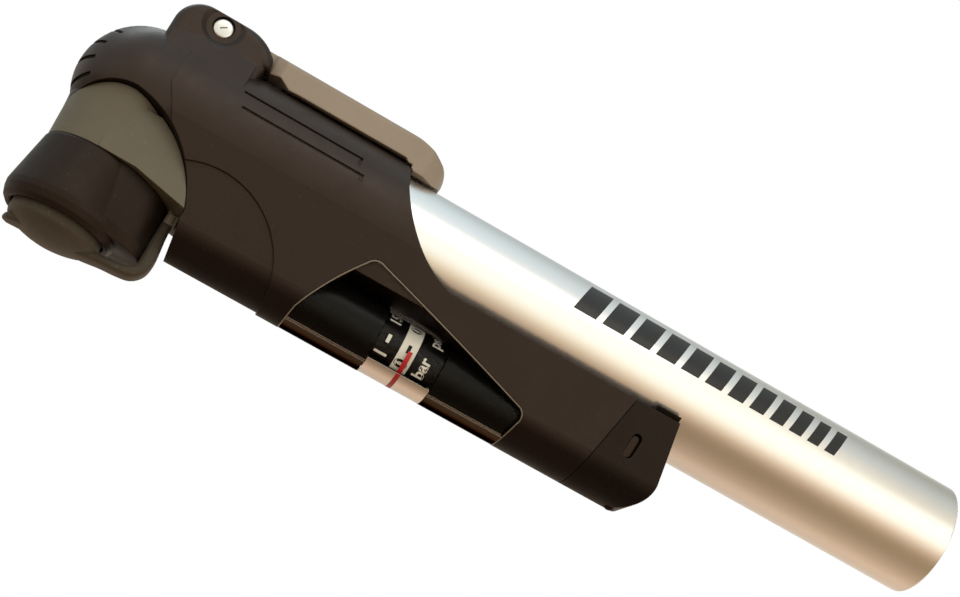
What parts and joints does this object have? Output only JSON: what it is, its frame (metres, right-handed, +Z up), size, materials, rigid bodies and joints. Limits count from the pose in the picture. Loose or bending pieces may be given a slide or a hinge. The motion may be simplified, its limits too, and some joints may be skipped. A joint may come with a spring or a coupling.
{
  "type": "mini hand pump with in-line gauge",
  "caption": "Slim hand pump: alloy sleeve handle on a dark moulded head with thumb-lock lever, capped valve nozzle and a clear window over an in-line sliding pressure gauge.",
  "frame": {"origin": "centre of the valve seal's bore, on the valve axis", "axes": "+X along the barrel towards the handle's free end, +Z up along the valve axis towards the thumb lever, Y across"},
  "size_m": [0.1779, 0.026, 0.0506],
  "materials": {
    "housing_plastic": "fine-textured matt moulding",
    "neck_plastic": "satin moulding",
    "collar_plastic": "satin moulding",
    "end_cap_plastic": "satin moulding",
    "lever_plastic": "satin moulding",
    "cap_rubber": "soft matt rubber",
    "seal_rubber": "matt rubber",
    "white_plastic": "natural acetal",
    "sleeve_alloy": "satin brushed, clear anodised",
    "barrel_alloy": "drawn",
    "rod_steel": "ground and plated",
    "pin_steel": "bright",
    "seat_brass": "turned",
    "clear_plastic": "clear moulding",
    "drum_print": "printed",
    "index_red": "printed line"
  },
  "bodies": {
    "head": {"main_housing": "housing_plastic", "head_core": "neck_plastic", "collar": "collar_plastic", "valve_gland": "seal_rubber", "gland_washer": "white_plastic", "lever_pin": "pin_steel", "cap_strap": "cap_rubber", "inner_barrel": "barrel_alloy", "barrel_seal": "seal_rubber", "barrel_guide": "white_plastic", "bump_ring": "seal_rubber", "check_seat": "seat_brass", "check_spring": "pin_steel", "gauge_inlet": "white_plastic", "gauge_inlet_seal": "seal_rubber", "gauge_tube": "clear_plastic", "gauge_spring": "pin_steel", "gauge_spring_seat": "white_plastic", "gauge_index_ring": "index_red", "gauge_window": "clear_plastic", "gauge_end_cap": "end_cap_plastic"},
    "handle": {"pump_sleeve": "sleeve_alloy", "sleeve_bush": "white_plastic", "sleeve_end_plug": "collar_plastic", "end_screw": "pin_steel", "piston_rod": "rod_steel", "piston": "white_plastic", "piston_seal": "seal_rubber", "piston_screw": "pin_steel"},
    "lever": {"thumb_lever": "lever_plastic"},
    "seal_plunger": {"plunger": "white_plastic", "plunger_seal": "seal_rubber"},
    "valve_cap": {"dust_cap": "cap_rubber"},
    "gauge_slide": {"gauge_piston": "collar_plastic", "gauge_seal": "seal_rubber", "scale_drum": "drum_print"},
    "inlet_ball": {"check_ball": "pin_steel"}
  },
  "joints": [
    {"name": "pump_stroke", "type": "slide", "parent": "head", "child": "handle", "axis": [1, 0, 0], "range_m": [0, 0.105]},
    {"name": "lever_lift", "type": "hinge", "parent": "head", "child": "lever", "pos_m": [0.0074, 0, 0.03715], "axis": [0, -1, 0], "range_deg": [0, 90]},
    {"name": "plunger_press", "type": "slide", "parent": "head", "child": "seal_plunger", "axis": [0, 0, -1], "range_m": [0, 0.0019]},
    {"name": "cap_swing", "type": "hinge", "parent": "head", "child": "valve_cap", "pos_m": [0.0159, 0, -0.00765], "axis": [0, -1, 0], "range_deg": [0, 100]},
    {"name": "gauge_travel", "type": "slide", "parent": "head", "child": "gauge_slide", "axis": [1, 0, 0], "range_m": [0, 0.018], "stiffness_N_per_m": 150, "deforming": ["gauge_spring"]},
    {"name": "check_open", "type": "slide", "parent": "head", "child": "inlet_ball", "axis": [-1, 0, 0], "range_m": [0, 0.0009], "stiffness_N_per_m": 15, "deforming": ["check_spring"]}
  ],
  "couplings": [
    {"joint": "plunger_press", "follows": "lever_lift", "m_per_rad": 0.0011459}
  ]
}
